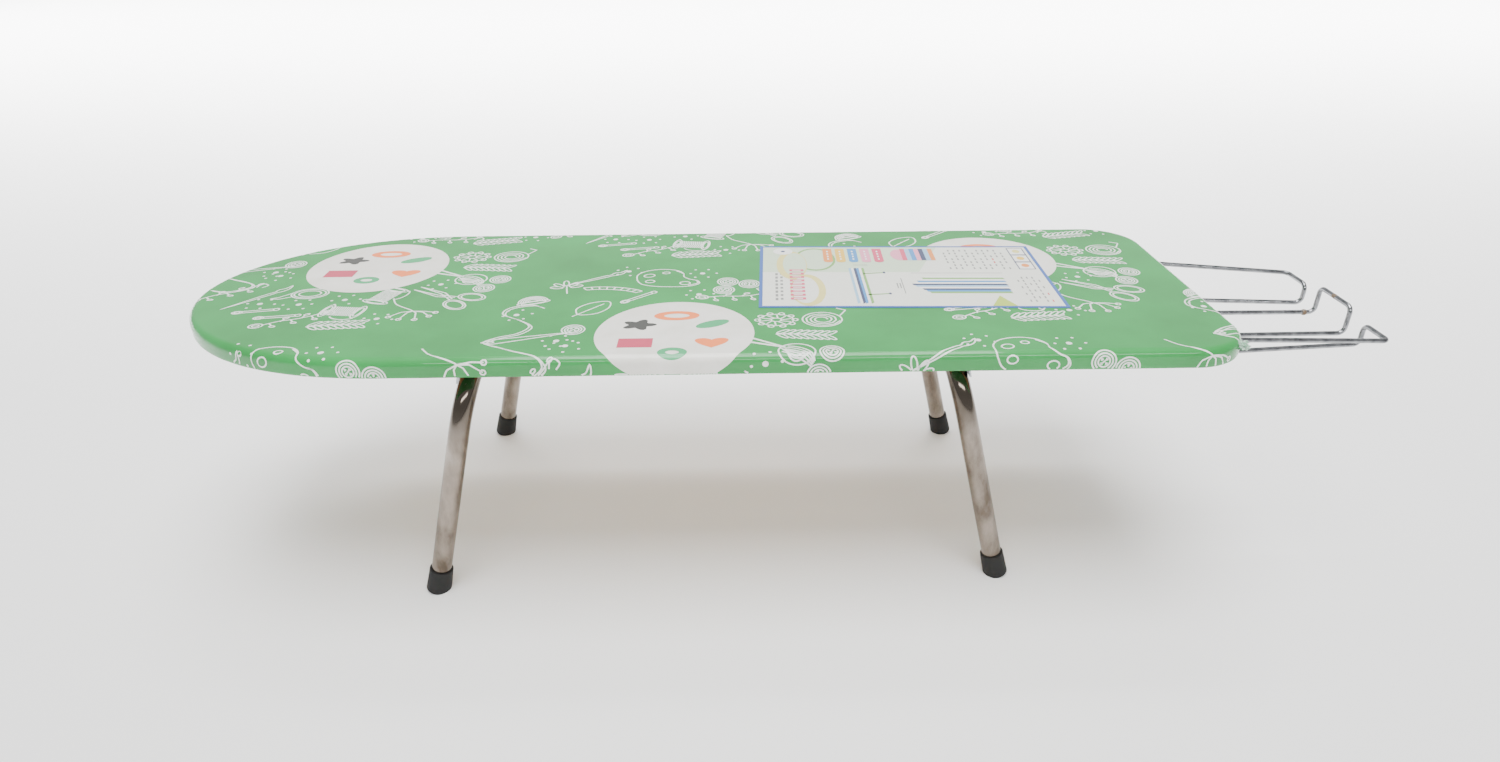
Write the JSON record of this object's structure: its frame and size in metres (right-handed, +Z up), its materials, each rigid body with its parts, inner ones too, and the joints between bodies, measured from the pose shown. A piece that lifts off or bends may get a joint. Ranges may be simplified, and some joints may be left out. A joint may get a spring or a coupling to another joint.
{
  "type": "ironing board",
  "caption": "Low padded ironing board with rounded nose, folding U-shaped tube legs with rubber feet, and a wire iron rest at the square end.",
  "frame": {"origin": "on the floor, at the middle of the whole object's box", "axes": "+X from the rounded nose to the iron rest, +Z up"},
  "size_m": [1.2244, 0.35, 0.2743],
  "materials": {
    "cover_fabric": "glossy under clear wrap",
    "foam": "matte",
    "panel_wood": "matte",
    "card": "glossy under clear wrap",
    "rest_wire": "bright",
    "leg_steel": "satin, slightly stained",
    "bracket_steel": "zinc plated",
    "clip_steel": "zinc plated",
    "fixing_steel": "zinc plated",
    "rubber": "matte"
  },
  "bodies": {
    "board": {"board_panel": "panel_wood", "foam_pad": "foam", "board_cover": "cover_fabric", "cover_staples": "fixing_steel", "instruction_card": "card", "iron_rest": "rest_wire", "rest_clip_cross_left": "clip_steel", "rest_clip_cross_right": "clip_steel", "rest_clip_turn_left": "clip_steel", "rest_clip_turn_right": "clip_steel", "saddle_screws": "fixing_steel", "stop_screws": "fixing_steel", "clip_screws": "fixing_steel", "nose_mount_plate": "bracket_steel", "tail_mount_plate": "bracket_steel", "nose_saddle_left": "bracket_steel", "nose_saddle_right": "bracket_steel", "nose_stop_left": "bracket_steel", "nose_stop_right": "bracket_steel", "tail_saddle_left": "bracket_steel", "tail_saddle_right": "bracket_steel", "tail_stop_left": "bracket_steel", "tail_stop_right": "bracket_steel"},
    "nose_legs": {"nose_leg_tube": "leg_steel", "nose_foot_cap_left": "rubber", "nose_foot_cap_right": "rubber"},
    "tail_legs": {"tail_leg_tube": "leg_steel", "tail_foot_cap_left": "rubber", "tail_foot_cap_right": "rubber"}
  },
  "joints": [
    {"name": "nose_leg_fold", "type": "hinge", "parent": "board", "child": "nose_legs", "pos_m": [-0.29925, 0, 0.2442], "axis": [0, -1, 0], "range_deg": [0, 102]},
    {"name": "tail_leg_fold", "type": "hinge", "parent": "board", "child": "tail_legs", "pos_m": [0.16675, 0, 0.2442], "axis": [0, 1, 0], "range_deg": [0, 96]}
  ]
}
